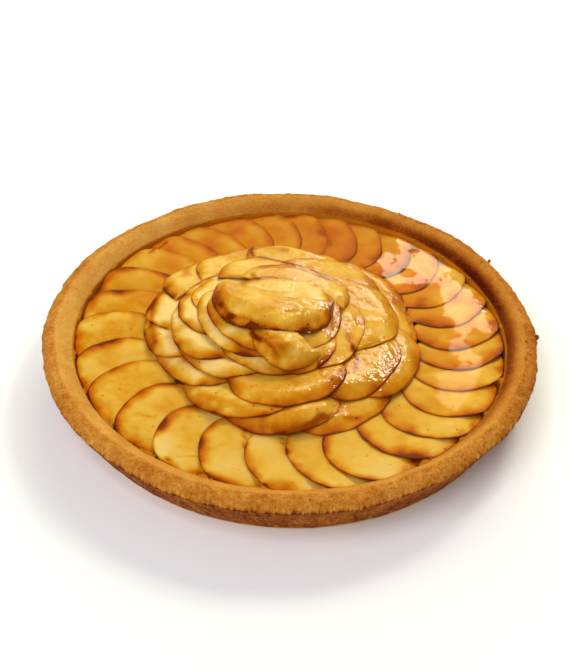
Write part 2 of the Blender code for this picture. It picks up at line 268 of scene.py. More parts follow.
def build_case():
    """Carry the section round the axis and push it along its normal by noise that differs by zone: the
    trimmed band, the torn shoulder and the rippled wall.  Bake, streak and soak are sums of the zones;
    bake holds painted light and shade from a lamp on the right as well as the baking."""
    radius, height, places, along = case_section()
    lip, crest, brink, foot = along[6], along[8], along[10], along[13]
    azimuth = np.linspace(0.0, 2.0 * math.pi, ROUND_STEPS, endpoint=False)[:, None]
    radius, height, places = radius[None, :], height[None, :], places[None, :]
    outward, upward = np.gradient(radius[0]), np.gradient(height[0])
    slope = upward / np.hypot(outward, upward)
    run = outward / np.hypot(outward, upward)
    x, y = radius * np.cos(azimuth), radius * np.sin(azimuth)
    points = np.stack([x, y, np.broadcast_to(height, x.shape)], axis=-1)
    band = ease(places, lip - 0.002, lip + 0.001) * (1.0 - ease(places, crest - 0.001, crest + 0.0015))
    shoulder = ease(places, crest - 0.001, crest + 0.0015) * (1.0 - ease(places, brink, brink + 0.002))
    wall = ease(places, brink, brink + 0.002) * (1.0 - ease(places, foot - 0.002, foot))
    around = np.concatenate([points[..., :2], 0.12 * points[..., 2:]], axis=-1)
    lumps = rough_noise(points, 0.0130, 5, 2)
    crumb = rough_noise(points, 0.0030, 11, 3)
    ripple = rough_noise(around, 0.0036, 23, 3)
    push = (BIG_LUMPS * lumps * (band + shoulder + 0.6 * wall) + FINE_CRUMB * crumb * (band + wall)
            + TORN_CRUMB * crumb * shoulder + WALL_RIPPLE * ripple * wall)
    rim_part = ease(radius, BED_RADIUS, BED_RADIUS + 0.010) * (height / 0.010).clip(0.0, 1.0)
    wave = RIM_WAVE * rim_wave(azimuth) * rim_part
    lift = 0.8 * RIM_WAVE * rim_wave(azimuth + 1.1) * rim_part
    out = radius + wave - push * slope[None, :]
    up = height + lift + push * run[None, :]
    points = np.stack([out * np.cos(azimuth), out * np.sin(azimuth), up.clip(0.0)], axis=-1)
    inside = 1.0 - ease(places, lip - 0.0012, lip + 0.0004)
    turn = np.arctan2(points[..., 1], points[..., 0])
    left = 0.5 - 0.5 * np.cos(turn + 0.35)
    right_back = (0.5 + 0.5 * np.cos(turn - 0.45)) ** 3
    low_band = band * (1.0 - ease(places, lip + 0.0020, crest - 0.0010))
    # Painted light and shade from a lamp on the right: the band lighter on the left and darker on the right
    # and at the back, much darker low on its inner side there; the wall and a line just under the brink
    # darker, partly as painted shade under the overhanging rim.
    bake_and_shade = ((0.28 - 0.11 * left + 0.12 * right_back) * band + 0.60 * right_back * low_band
            + (0.37 + 0.12 * right_back) * shoulder
            + 0.62 * wall + 0.30 * inside + 0.07 * lumps + 0.10 * crumb * shoulder + 0.14 * ripple * wall
            + 0.20 * np.exp(-((places - brink - 0.0008) / 0.0013) ** 2))
    streak = 0.5 * shoulder + 0.9 * wall + 1.9 * np.exp(-((places - brink - 0.0010) / 0.0020) ** 2)
    streak = np.broadcast_to(streak, turn.shape)
    soak = np.broadcast_to(inside * (places < foot), turn.shape)
    values = {"bake_and_shade": bake_and_shade.ravel(), "streak": streak.ravel(), "soak": soak.ravel()}
    return points, round_faces(ROUND_STEPS, places.shape[1]), values


case_points, case_faces, case_values = build_case()
crust = link_piece("shortcrust_case", case_points, case_faces, case_values, shortcrust_material(),
                   ["crust"])


# ---------------------------------------------------------------------------------- apple ring
# Peeled, cored apple cut into thin half-moons and fanned round the case, each slice half over the
# one before.  Baking browns the thin rounded edge, and an amber glaze is brushed over it all.
RING_THICKNESS = 0.0026
RING_GAP = 0.00038
RING_TOP = 0.0238
# Where each slice's rounded edge crosses the sweep radius, in degrees, in the order of laying.
RING_EDGES = (226.3, 242.0, 256.0, 269.2, 280.2, 294.5, 307.0, 318.7, 331.6, 342.4, 353.6,
              366.0, 378.0, 390.0, 402.0, 413.5, 423.5, 435.0, 445.5, 456.0, 468.5, 480.0,
              491.5, 504.0, 516.0, 529.0, 544.0, 557.0, 572.5)
# Ends of a slice's chord: distance from the axis, and degrees on from the slice's edge.
RING_INNER = (0.0650, 9.0)
RING_OUTER = (0.1040, 26.5)
RING_BULGE = 0.0290
RING_BACK = 0.0070
RING_LIMIT = 0.1142
RING_EASE = 0.0016
RING_REACH = 0.0046
# The rounded edges trail behind a straight spoke on both sides of this radius, by a scale and degrees.
SWEEP_RADIUS = 0.0830
SWEEP_OUTWARD = (0.0280, 11.0)
SWEEP_INWARD = (0.0180, 5.0)
RING_DROOP = 0.0010
RING_LIFT = 0.0024
RING_SINK = 0.0003
RING_TAPER = (0.0110, 0.22)
RING_RAGGED = 0.00055
RING_WAVES = 0.00016
SLICE_STEPS = (64, 26)
ARCH_POWER = 2.3
# Scorched spots and a few strokes of painted shadow, as strokes in plan: start x and y, end x and y,
# height, reach, all in mm, and strength.
SCORCH_AND_SHADOW_STROKES = (
    (-21.0, -75.1, -20.0, -85.9, 21.2, 0.8, 0.50), (-2.7, -77.5, -2.0, -83.2, 20.8, 0.8, 0.50),
    (-0.1, -86.4, 0.4, -88.3, 20.6, 1.2, 0.55), (59.0, -90.9, 60.0, -90.6, 20.2, 1.4, 0.60),
    (-9.7, -110.2, -9.3, -110.8, 22.5, 0.9, 0.50), (-55.9, -96.5, -55.0, -96.4, 22.6, 1.0, 0.50),
    (-51.0, -94.3, -40.9, -92.3, 22.0, 0.4, 0.25), (-69.3, -67.1, -64.4, -67.5, 21.1, 0.5, 0.30),
    (22.7, 92.6, 22.6, 84.0, 19.9, 0.5, 0.35), (-83.5, 67.9, -74.4, 80.9, 22.3, 0.7, 0.45),
    (-73.8, 19.5, -74.2, -0.9, 26.4, 1.7, 0.36), (-74.2, -0.9, -69.7, -17.5, 26.6, 1.8, 0.36),
    (-58.5, 58.0, -59.4, 38.0, 29.5, 2.2, 0.38), (-56.0, 60.0, -44.5, 60.0, 28.0, 1.8, 0.34),
    (-40.4, 61.0, -4.3, 68.0, 27.5, 2.2, 0.36), (-24.5, 67.0, -22.3, 57.2, 29.5, 0.9, 0.60),
    # The first two strokes below are a dark crack at a torn petal edge, partly painted shadow.
    (30.0, -14.9, 32.0, -21.3, 32.2, 1.6, 0.45), (32.0, -21.3, 34.5, -27.9, 30.3, 0.8, 0.55),
    (34.5, -27.9, 33.0, -40.4, 29.9, 1.2, 0.40), (14.8, -35.7, 15.9, -41.0, 32.1, 1.4, 0.50),
    (-21.7, 29.2, -18.3, 24.7, 38.0, 1.4, 0.55), (-41.5, 2.0, -35.0, -6.0, 46.0, 8.0, 0.26),
    (-35.5, -9.3, -30.4, -18.0, 46.6, 1.3, 0.40), (-30.4, -18.0, -20.6, -21.4, 46.5, 1.2, 0.36),
    # The first stroke below is painted shadow: the dark hollow under the edge of the bud's cap.
    (-19.5, -22.7, -18.8, -27.6, 44.7, 1.6, 0.95), (-19.8, -26.4, -5.8, -41.0, 41.9, 1.2, 0.40),
    (-15.2, -29.0, -3.9, -38.2, 43.2, 4.6, 0.46), (27.7, -66.6, 35.2, -65.4, 23.6, 1.2, 0.35),
    (-43.8, -55.2, -21.0, -66.2, 26.4, 2.6, 0.28))
# Places where the syrup has run together and caramelised to a dark red, as strokes of the same kind.
SYRUP_POOLS = (
    (1.1, -77.7, 5.9, -76.6, 25.1, 1.1, 0.9), (5.9, -76.6, 9.7, -74.7, 25.8, 1.4, 1.0),
    (9.7, -74.7, 13.5, -72.2, 26.3, 1.6, 1.0), (13.5, -72.2, 17.9, -69.2, 26.5, 1.3, 1.0),
    (17.9, -69.2, 21.8, -65.6, 26.2, 1.0, 0.8))
STROKE_DEPTH = 0.0035
STROKE_LEAST = 0.01
OUT_OF_REACH = 0.0500
LAP_MARGIN = 0.004
EDGE_LINE = 0.0005
LAP_LINE = 0.0005
LAP_FADE = 0.0018


def slice_grid(steps):
    """Lengthwise s from -1 to 1 and crosswise w from 0 at the rounded edge to 1 at the core side."""
    along = np.sin(0.5 * math.pi * np.linspace(-1.0, 1.0, steps[0] + 1))
    across = np.linspace(0.0, 1.0, steps[1] + 1) ** 1.5
    return np.meshgrid(along, across, indexing="ij")


def half_moon(s, w, length, bulge, back, blunt=0.0040):
    """Plan of a slice: on the chord a half ellipse, a little squared because its power is above 2, and
    behind the chord the shallow parabola of the core side."""
    arch = (1.0 - np.abs(s) ** ARCH_POWER).clip(0.0) ** (1.0 / ARCH_POWER)
    front = blunt + (bulge - blunt) * arch
    rear = -back * (1.0 - s ** 2)
    return 0.5 * length * s, front + w * (rear - front)


def ring_index(azimuth):
    """Slice number at an azimuth in radians, counted on without a break from lap to lap."""
    count = len(RING_EDGES)
    edges = np.radians(RING_EDGES)
    laps = np.concatenate([edges - 2.0 * math.pi, edges, edges + 2.0 * math.pi])
    return np.interp(azimuth, laps, np.arange(-count, 2 * count))


def edge_sweep(radius):
    """How far the rounded edges trail behind a straight spoke, in radians."""
    outward = ((radius - SWEEP_RADIUS) / SWEEP_OUTWARD[0]).clip(0.0) ** 2
    inward = ((SWEEP_RADIUS - radius) / SWEEP_INWARD[0]).clip(0.0, 1.4) ** 2
    return np.radians(SWEEP_OUTWARD[1] * outward + SWEEP_INWARD[1] * inward)


def ring_underside(x, y, index):
    """Underside height of ring slice `index`: a stepped surface that all the slices share."""
    radius = np.hypot(x, y)
    azimuth = np.arctan2(y, x)
    centre = math.radians(RING_EDGES[index] + 12.0)
    azimuth = azimuth + 2.0 * math.pi * np.round((centre - azimuth) / (2.0 * math.pi))
    level = index - ring_index(azimuth - edge_sweep(radius))
    sway = (0.00035 * np.sin(5 * azimuth + 60.0 * radius)
            + 0.00030 * np.sin(9 * azimuth - 110.0 * radius + 2.0))
    droop = RING_DROOP * ((radius - 0.0950) / 0.0160).clip(0.0) ** 2
    return RING_TOP - RING_THICKNESS + (RING_THICKNESS + RING_GAP) * level + sway - droop


def ring_plan(s, w, index, rng):
    """Plan points of ring slice `index`, kept inside the case."""
    azimuth = math.radians(RING_EDGES[index])
    inner_radius = RING_INNER[0] + rng.uniform(-0.0020, 0.0020)
    inner_turn = azimuth + math.radians(RING_INNER[1] + rng.uniform(-0.6, 0.6))
    outer_turn = azimuth + math.radians(RING_OUTER[1] + rng.uniform(-0.8, 0.8))
    bulge = RING_BULGE + rng.uniform(-0.0008, 0.0008)
    tail = inner_radius * np.array((math.cos(inner_turn), math.sin(inner_turn)))
    tip = RING_OUTER[0] * np.array((math.cos(outer_turn), math.sin(outer_turn)))
    along = (tip - tail) / np.linalg.norm(tip - tail)
    outward = np.array((along[1], -along[0]))
    u, v = half_moon(s, w, np.linalg.norm(tip - tail), bulge, RING_BACK)
    middle = 0.5 * (tail + tip)
    x = middle[0] + u * along[0] + v * outward[0]
    y = middle[1] + u * along[1] + v * outward[1]
    spoke = np.hypot(x, y)
    radius = spoke + RING_REACH * ease(spoke, 0.0880, 0.1080)
    excess = (radius - (RING_LIMIT - RING_EASE)).clip(0.0) / RING_EASE
    held = np.where(excess > 0.0, RING_LIMIT - RING_EASE * np.exp(-excess), radius)
    return x * held / spoke, y * held / spoke


def distance_to_line(points, line):
    """Plan distance from each point to the nearest stretch of a line of points."""
    start, step = line[:-1], np.diff(line, axis=0)
    reach = points[:, None, :] - start[None, :, :]
    share = ((reach * step).sum(-1) / (step ** 2).sum(-1).clip(1e-12)).clip(0.0, 1.0)
    gap = reach - share[..., None] * step
    return np.sqrt((gap ** 2).sum(-1)).min(axis=1)


def shell_faces(rows, columns):
    """Quads of a top grid and an underside grid that share the points of their border."""
    top = np.arange(rows * columns).reshape(rows, columns)
    under = top.copy()
    inner = (rows - 2) * (columns - 2)
    under[1:-1, 1:-1] = rows * columns + np.arange(inner).reshape(rows - 2, columns - 2)
    upper = np.stack([top[:-1, :-1], top[1:, :-1], top[1:, 1:], top[:-1, 1:]], axis=-1)
    lower = np.stack([under[:-1, :-1], under[:-1, 1:], under[1:, 1:], under[1:, :-1]], axis=-1)
    return np.concatenate([upper.reshape(-1, 4), lower.reshape(-1, 4)])


def apple_slice(x, y, under, thickness, seed, taper, ragged, waves, creased=False):
    """A thin slice that tapers towards its rounded edge: over the taper's width its thickness eases down
    to the taper's share, and at the border it follows a quarter circle.  The edge wanders by `ragged`
    and the top swells by `waves`, in sharp folds if creased.  Returns the top grid, the underside grid,
    the distance to the rounded edge, and that edge in plan."""
    place = np.stack([x, y, np.full_like(x, 0.01 * seed)], axis=-1)
    outward = np.stack([x - x[:, -1:], y - y[:, -1:]], axis=-1)
    outward = outward / np.linalg.norm(outward, axis=-1, keepdims=True).clip(1e-6)
    outward[:, -1] = 0.0
    wobble = ragged * rough_noise(place[:, :1], 0.0070 if creased else 0.0110, seed, 4)
    x = x + wobble * outward[..., 0]
    y = y + wobble * outward[..., 1]
    edge = np.stack([x[:, 0], y[:, 0]], axis=-1)
    border = np.concatenate([edge, np.stack([x[-1, 1:], y[-1, 1:]], -1),
                             np.stack([x[-2::-1, -1], y[-2::-1, -1]], -1),
                             np.stack([x[0, -2::-1], y[0, -2::-1]], -1)])
    flat = np.stack([x.ravel(), y.ravel()], axis=-1)
    to_edge = distance_to_line(flat, edge).reshape(x.shape)
    to_border = distance_to_line(flat, border).reshape(x.shape)
    to_border[0, :] = to_border[-1, :] = 0.0
    to_border[:, 0] = to_border[:, -1] = 0.0
    body = thickness * (taper[1] + (1.0 - taper[1]) * ease(to_edge, 0.0, taper[0]))
    swell = np.sqrt(1.0 - (1.0 - (to_border / (0.5 * thickness)).clip(0.0, 1.0)) ** 2)
    relief = rough_noise(place, 0.0130, seed + 400, 4)
    if creased:
        relief = 1.0 - 2.6 * np.abs(relief)
    relief = waves * relief * swell
    top = under + body * (0.4 + 0.6 * swell) + relief
    low = under + body * (0.4 - 0.4 * swell)
    return (np.stack([x, y, top], -1), np.stack([x, y, low], -1), to_edge, edge)


def apple_material(name, fibres, crinkle, pale):
    """Baked apple under glaze: pale flesh that browns with the toast value, which also carries painted
    shade, dark red-brown where the syrup value says so, which is syrup and painted shade beside lapping
    edges, fibres across the slice, a few dark specks, soft light under the surface, and a crinkled coat
    of glaze where wet."""
    material, nodes, links, shader = new_material(name)
    shader.inputs["Roughness"].default_value = 0.42
    shader.inputs["Subsurface Weight"].default_value = 0.25
    shader.inputs["Subsurface Radius"].default_value = (1.0, 0.45, 0.12)
    shader.inputs["Subsurface Scale"].default_value = 0.0012
    shader.inputs["Specular IOR Level"].default_value = 0.03
    shader.inputs["Coat Roughness"].default_value = 0.08
    shader.inputs["Coat IOR"].default_value = 1.55
    place = nodes.new("ShaderNodeTexCoord")
    toast_and_shade, syrup_and_lap_shade, flesh, wet = (piece_value(nodes, label) for label in ("toast_and_shade", "syrup_and_lap_shade", "flesh", "wet"))
    stretch = nodes.new("ShaderNodeMapping")
    stretch.inputs["Scale"].default_value = (1300.0, 110.0, 1.0)
    fibre = noise_texture(nodes, 1.0, 4.0)
    fibre_shift = sum_step(nodes, "MULTIPLY_ADD", fibres, -0.5 * fibres)
    blotch = noise_texture(nodes, 190.0, 5.0, 0.6)
    blotch_shift = sum_step(nodes, "MULTIPLY_ADD", 0.36, -0.18)
    both = sum_step(nodes, "ADD")
    cells = nodes.new("ShaderNodeTexVoronoi")
    cells.inputs["Scale"].default_value = 170.0
    near_middle = sum_step(nodes, "LESS_THAN", 0.10)
    few = sum_step(nodes, "GREATER_THAN", 0.55)
    speck = sum_step(nodes, "MULTIPLY")
    specked = sum_step(nodes, "MULTIPLY_ADD", 0.40)
    total = sum_step(nodes, "ADD")
    ramp = baking_colours(nodes, (*pale, (0.58, (0.54, 0.168, 0.004)), (0.78, (0.39, 0.078, 0.002)),
                                  (1.0, (0.16, 0.024, 0.001))))
    darken = stain(nodes, (0.32, 0.062, 0.003))
    bump = bump_map(nodes, 0.25, 0.0005)
    dimple = noise_texture(nodes, 170.0, 3.0)
    skin = bump_map(nodes, 1.0, crinkle)
    join_up(links, (
        (flesh, "Vector", stretch, "Vector"), (stretch, "Vector", fibre, "Vector"),
        (fibre, "Fac", fibre_shift, 0), (place, "Object", blotch, "Vector"),
        (blotch, "Fac", blotch_shift, 0), (fibre_shift, 0, both, 0), (blotch_shift, 0, both, 1),
        (place, "Object", cells, "Vector"), (cells, "Distance", near_middle, 0), (cells, "Color", few, 0),
        (near_middle, 0, speck, 0), (few, 0, speck, 1), (speck, 0, specked, 0), (both, 0, specked, 2),
        (specked, 0, total, 0), (toast_and_shade, "Fac", total, 1), (total, 0, ramp, "Fac"),
        (ramp, "Color", darken, "A"), (syrup_and_lap_shade, "Fac", darken, "Factor"),
        (darken, "Result", shader, "Base Color"), (fibre, "Fac", bump, "Height"),
        (bump, "Normal", shader, "Normal"), (place, "Object", dimple, "Vector"),
        (dimple, "Fac", skin, "Height"), (skin, "Normal", shader, "Coat Normal"),
        (wet, "Fac", shader, "Coat Weight")))
    return material


def painted(strokes, flat, height, fleck):
    """Sum of bells along the strokes: strength times exp(-(gap / reach)^2), the gap roughened by fleck,
    times another bell in height, so that a slice below or above the stroke stays clean.  Each stroke is
    longer by STROKE_LEAST, so that a dot has a length too."""
    total = np.zeros(fleck.shape)
    for start_x, start_y, end_x, end_y, level, reach, strength in strokes:
        stroke = 0.001 * np.array(((start_x, start_y), (end_x + STROKE_LEAST, end_y)))
        if np.abs(stroke.mean(0) - flat.mean(0)).max() < OUT_OF_REACH:
            gap = distance_to_line(flat, stroke).reshape(fleck.shape) * (1.0 + 0.55 * fleck)
            apart = (height - 0.001 * level) / STROKE_DEPTH
            total = total + strength * np.exp(-(gap / (0.001 * reach)) ** 2 - apart ** 2)
    return total


def finish_slice(name, shape, later_edges, tone, edge_brown_and_shade, seed, material, spread, lap_syrup_and_shade,
                 glaze_cover):
    """Brown a slice along its rounded edge and paint shade and dark syrup where later slices lap over it;
    make it a piece.  Toast is the slice's own tone, plus bells and an exponential that fall off from the
    edge, plus the strokes, burns and a few of painted shadow; the syrup value is a narrow bell and an
    exponential beside each lapping edge, painted shade and dark syrup together, or a pool of syrup; wet
    is broken up by noise, grows towards the right and is halved on the pools."""
    top, low, to_edge, edge = shape
    flat = top[..., :2].reshape(-1, 2)
    span = np.abs(flat - flat.mean(0)).max() + LAP_MARGIN
    near = [line for line in later_edges if np.abs(line - flat.mean(0)).max(1).min() < span]
    to_lap = np.full(to_edge.shape, OUT_OF_REACH)
    for line in near:
        to_lap = np.minimum(to_lap, distance_to_line(flat, line).reshape(to_edge.shape))
    place = np.concatenate([top[..., :2], np.full((*to_edge.shape, 1), 0.013 * seed)], axis=-1)
    patch = rough_noise(place, 0.0120, seed + 90, 3)
    width = spread * (1.0 + 0.5 * patch)
    from_edge = 0.70 * np.exp(-(to_edge / width) ** 2) + 0.30 * np.exp(-to_edge / (0.25 * width))
    toast_and_shade = (tone + edge_brown_and_shade * (1.0 + 0.6 * patch) * from_edge
             + 0.20 * np.exp(-(to_edge / EDGE_LINE) ** 2) + 0.15 * patch)
    fleck = rough_noise(place, 0.0030, seed + 700, 3)
    # Scorch marks, and painted shadow in the hollow under the cap and at a torn edge.
    toast_and_shade = toast_and_shade + painted(SCORCH_AND_SHADOW_STROKES, flat, top[..., 2], fleck)
    pooled = painted(SYRUP_POOLS, flat, top[..., 2], fleck)
    # Painted shade, darkened with syrup: a dark line and a softer fall-off beside each edge that laps over
    # the slice.
    from_lap = np.exp(-(to_lap / LAP_LINE) ** 2) + 0.35 * np.exp(-to_lap / LAP_FADE)
    syrup_and_lap_shade = np.maximum(from_lap * lap_syrup_and_shade * (0.85 + 0.5 * patch), pooled)
    arc = np.concatenate([[0.0], np.cumsum(np.hypot(*np.diff(edge, axis=0).T))])
    arc = np.broadcast_to(arc[:, None], to_edge.shape)
    flesh = np.stack([arc, to_edge, np.full(to_edge.shape, 3.7 * seed)], axis=-1)
    inner = (slice(1, -1), slice(1, -1))

    def both(field):
        """The field's values on the top, then those of the underside's own points."""
        under = field[inner].reshape(-1, field[0, 0].size)
        return np.concatenate([field.reshape(to_edge.size, -1), under])

    points = np.concatenate([top.reshape(-1, 3), low[inner].reshape(-1, 3)])
    faces = shell_faces(*to_edge.shape)
    covered = (0.15 + 0.85 * ease(top[..., 0], -0.012, 0.012)) * ease(patch + 0.6 * fleck, -0.25, 0.05)
    wet = glaze_cover * (covered + 0.10).clip(0.0, 1.0) * (1.0 - 0.5 * pooled.clip(0.0, 1.0))
    values = {"toast_and_shade": both(toast_and_shade).ravel(), "syrup_and_lap_shade": both(syrup_and_lap_shade.clip(0.0, 1.0)).ravel(),
              "flesh": both(flesh), "wet": both(wet).ravel()}
    return link_piece("baked_" + name, points, faces.tolist(), values, material, [name])


fine_s, fine_w = slice_grid(SLICE_STEPS)
ring_rng = np.random.default_rng(7)
ring_shapes = []
for ring_number in range(len(RING_EDGES)):
    ring_x, ring_y = ring_plan(fine_s, fine_w, ring_number, ring_rng)
    ring_under = (ring_underside(ring_x, ring_y, ring_number) - RING_GAP - RING_SINK
                  + RING_LIFT * ease(np.hypot(ring_x, ring_y), 0.0960, 0.1130))
    ring_shapes.append(apple_slice(ring_x, ring_y, ring_under, RING_THICKNESS, ring_number, RING_TAPER,
                                   RING_RAGGED, RING_WAVES))


# ---------------------------------------------------------------------------------- apple rose
# Half-moon slices laid as a rose on a mound of filling: each row lies on the one outside it, and
# within a row each next slice laps over the one before.  They are thin enough to sink limply onto
# what is under them; the last, large slice closes the bud.
ROSE_CENTRE = (-0.0060, 0.0)
ROSE_SEED = 50
PETAL_THICKNESS = 0.0020
PETAL_TAPER = (0.0080, 0.35)
PETAL_RAGGED = 0.0008
PETAL_WAVES = 0.00036
CREASED_RAGGED = 0.0013
CREASED_WAVES = 0.0011
CAP_CROWN = 0.0030
CAD_CELLS = (8, 3)
SAME_PLACE = 0.0003
# Each slice: degrees round the rose, the rounded edge's distance from the rose's centre, degrees turned.
OUTER_ROW = dict(length=0.060, width=0.028, slices=(
    (304, 0.0800, 6), (272, 0.0780, 0), (247, 0.0722, -4), (210, 0.0668, 3), (178, 0.0718, 0),
    (157, 0.0735, -2), (134, 0.0775, 0), (112, 0.0765, 4), (80, 0.0780, 0), (40, 0.0775, 0),
    (6, 0.0740, 0), (334, 0.0775, 0)))
SECOND_ROW = dict(length=0.060, width=0.029, slices=(
    (325, 0.0700, 4), (279, 0.0655, 4), (219, 0.0565, 4), (190, 0.0575, -2), (163, 0.0545, 0),
    (140, 0.0500, 0), (95, 0.0570, -4), (52, 0.0675, 0), (12, 0.0640, 0)))
THIRD_ROW = dict(length=0.060, width=0.028, slices=(
    (340, 0.0460, 4), (272, 0.0450, 2), (206, 0.0425, 0), (68, 0.0455, 0)))
INNER_ROW = dict(length=0.052, width=0.026, slices=(
    (338, 0.0330, 4), (84, 0.0280, 0), (216, 0.0375, 0)))
TONGUE = dict(length=0.036, width=0.024, slices=((258, 0.0400, -32),))
CAP = dict(length=0.064, width=0.034, slices=((252, 0.0275, 8),))


def petal_plan(s, w, azimuth, radius, turn, length, width):
    """Plan points of a rose slice whose rounded edge faces outward at the given azimuth, turned on about
    its apex by the given degrees."""
    middle = math.radians(azimuth)
    facing = math.radians(azimuth + turn)
    outward = np.array((math.cos(facing), math.sin(facing)))
    along = np.array((-outward[1], outward[0]))
    apex = np.array(ROSE_CENTRE) + radius * np.array((math.cos(middle), math.sin(middle)))
    u, v = half_moon(s, w, length, width, -0.0020)
    return (apex[0] + u * along[0] + (v - width) * outward[0],
            apex[1] + u * along[1] + (v - width) * outward[1])


def resting_heights(node, x, y):
    """Underside height of a packed slice at its plan nodes: the lowest of the corners found there."""
    corners = np.array([corner.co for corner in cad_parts[node].data.vertices])
    gap = np.hypot(corners[:, 0, None, None] - x, corners[:, 1, None, None] - y)
    return np.where(gap < SAME_PLACE, corners[:, 2, None, None], np.inf).min(axis=0)


def smooth_weights(count, steps):
    """Catmull-Rom weights that carry count + 1 even heights to steps + 1; both ends run on straight."""
    exact = np.eye(count + 1)
    padded = np.vstack([2.0 * exact[0] - exact[1], exact, 2.0 * exact[-1] - exact[-2]])
    place = np.linspace(0.0, count, steps + 1)
    cell = np.minimum(place.astype(int), count - 1)
    t = (place - cell)[:, None]
    shares = (-t + 2 * t ** 2 - t ** 3, 2 - 5 * t ** 2 + 3 * t ** 3,
              t + 4 * t ** 2 - 3 * t ** 3, t ** 3 - t ** 2)
    return 0.5 * sum(padded[cell + k] * share for k, share in enumerate(shares))


def map_cell(value):
    """Index of the height map's cell at a plan coordinate."""
    return np.round((value + MAP_HALF) / MAP_CELL).astype(int)


def pile_up(x, y, z):
    """Raise the height map to a grid of top points, spread half a cell to every side."""
    for shift in np.ndindex(3, 3):
        aside, beyond = 0.5 * (np.array(shift) - 1) * MAP_CELL
        np.maximum.at(pile, (map_cell(x + aside), map_cell(y + beyond)), z)


def sink_limply(x, y, z, crown):
    """Let a slice's rounded edge droop onto the pile: each round takes the mean of the four neighbours,
    drops a little, and is held up by the pile and by its own stiffness, which lets it fall by
    SINK_MOST at the edge and by SINK_LEAST beyond SINK_WIDTH from it."""
    to_edge = np.hypot(x - x[:, :1], y - y[:, :1])
    give = SINK_MOST * (1.0 - to_edge / SINK_WIDTH).clip(0.0) ** 1.5 + SINK_LEAST
    floor = np.maximum(pile[map_cell(x), map_cell(y)], z - give)
    z = np.maximum(z, floor)
    for _ in range(SINK_ROUNDS):
        padded = np.pad(z - crown, 1, mode="reflect", reflect_type="odd")
        mean = 0.25 * (padded[2:, 1:-1] + padded[:-2, 1:-1] + padded[1:-1, 2:] + padded[1:-1, :-2])
        z = np.maximum(z + 0.8 * (mean + crown - z) - SINK_STEP, floor)
    return z


MAP_CELL = 0.0010
MAP_HALF = 0.1150
SINK_CELLS = (24, 10)
SINK_ROUNDS = 120
SINK_STEP = 0.00005
SINK_MOST = 0.0028
SINK_LEAST = 0.0004
SINK_WIDTH = 0.0100
# Profile of the mound of filling, as on the solid: shares of its radius and of its height.
MOUND_REACH = np.array([0.0, 0.32, 0.52, 0.74, 0.93, 1.0])
MOUND_RISE = np.array([1.0, 0.93, 0.79, 0.53, 0.24, 0.0])
map_axis = np.arange(-MAP_HALF, MAP_HALF + 0.5 * MAP_CELL, MAP_CELL)
map_x, map_y = np.meshgrid(map_axis, map_axis, indexing="ij")
map_radius = np.hypot(map_x - ROSE_CENTRE[0], map_y - ROSE_CENTRE[1])
pile = np.interp(map_radius, BOSS_RADIUS * MOUND_REACH,
                 BED_HEIGHT + (BOSS_HEIGHT - BED_HEIGHT) * MOUND_RISE)
for ring_top, _, _, _ in ring_shapes:
    pile_up(ring_top[..., 0], ring_top[..., 1], ring_top[..., 2])
ring_pile = pile.copy()

cad_s, cad_w = slice_grid(CAD_CELLS)
sink_s, sink_w = slice_grid(SINK_CELLS)
cad_to_sink = [smooth_weights(CAD_CELLS[k], SINK_CELLS[k]) for k in (0, 1)]
sink_to_fine = [smooth_weights(SINK_CELLS[k], SLICE_STEPS[k]) for k in (0, 1)]
rose_shapes = []
for row_label, row in (("outer_petal", OUTER_ROW), ("second_petal", SECOND_ROW),
                       ("third_petal", THIRD_ROW), ("inner_petal", INNER_ROW),
                       ("bud_tongue", TONGUE), ("bud_cap", CAP)):
    for petal_number, (azimuth, radius, turn) in enumerate(row["slices"], start=1):
        node = row_label if len(row["slices"]) == 1 else f"{row_label}_{petal_number:02d}"
        cad_x, cad_y = petal_plan(cad_s, cad_w, azimuth, radius, turn, row["length"], row["width"])
        heights = cad_to_sink[0] @ resting_heights(node, cad_x, cad_y) @ cad_to_sink[1].T
        sink_x, sink_y = petal_plan(sink_s, sink_w, azimuth, radius, turn, row["length"], row["width"])
        crown = CAP_CROWN * (node == "bud_cap") * (1.0 - sink_s ** 2) * (1.0 - (2.0 * sink_w - 1.0) ** 2)
        heights = sink_limply(sink_x, sink_y, heights, crown)
        petal_x, petal_y = petal_plan(fine_s, fine_w, azimuth, radius, turn, row["length"], row["width"])
        petal_under = sink_to_fine[0] @ heights @ sink_to_fine[1].T
        creased = node in ("bud_cap", "bud_tongue")
        shape = apple_slice(petal_x, petal_y, petal_under, PETAL_THICKNESS,
                            ROSE_SEED + len(rose_shapes), PETAL_TAPER,
                            CREASED_RAGGED if creased else PETAL_RAGGED,
                            CREASED_WAVES if creased else PETAL_WAVES, creased)
        pile_up(shape[0][..., 0], shape[0][..., 1], shape[0][..., 2])
        rose_shapes.append((node, shape))

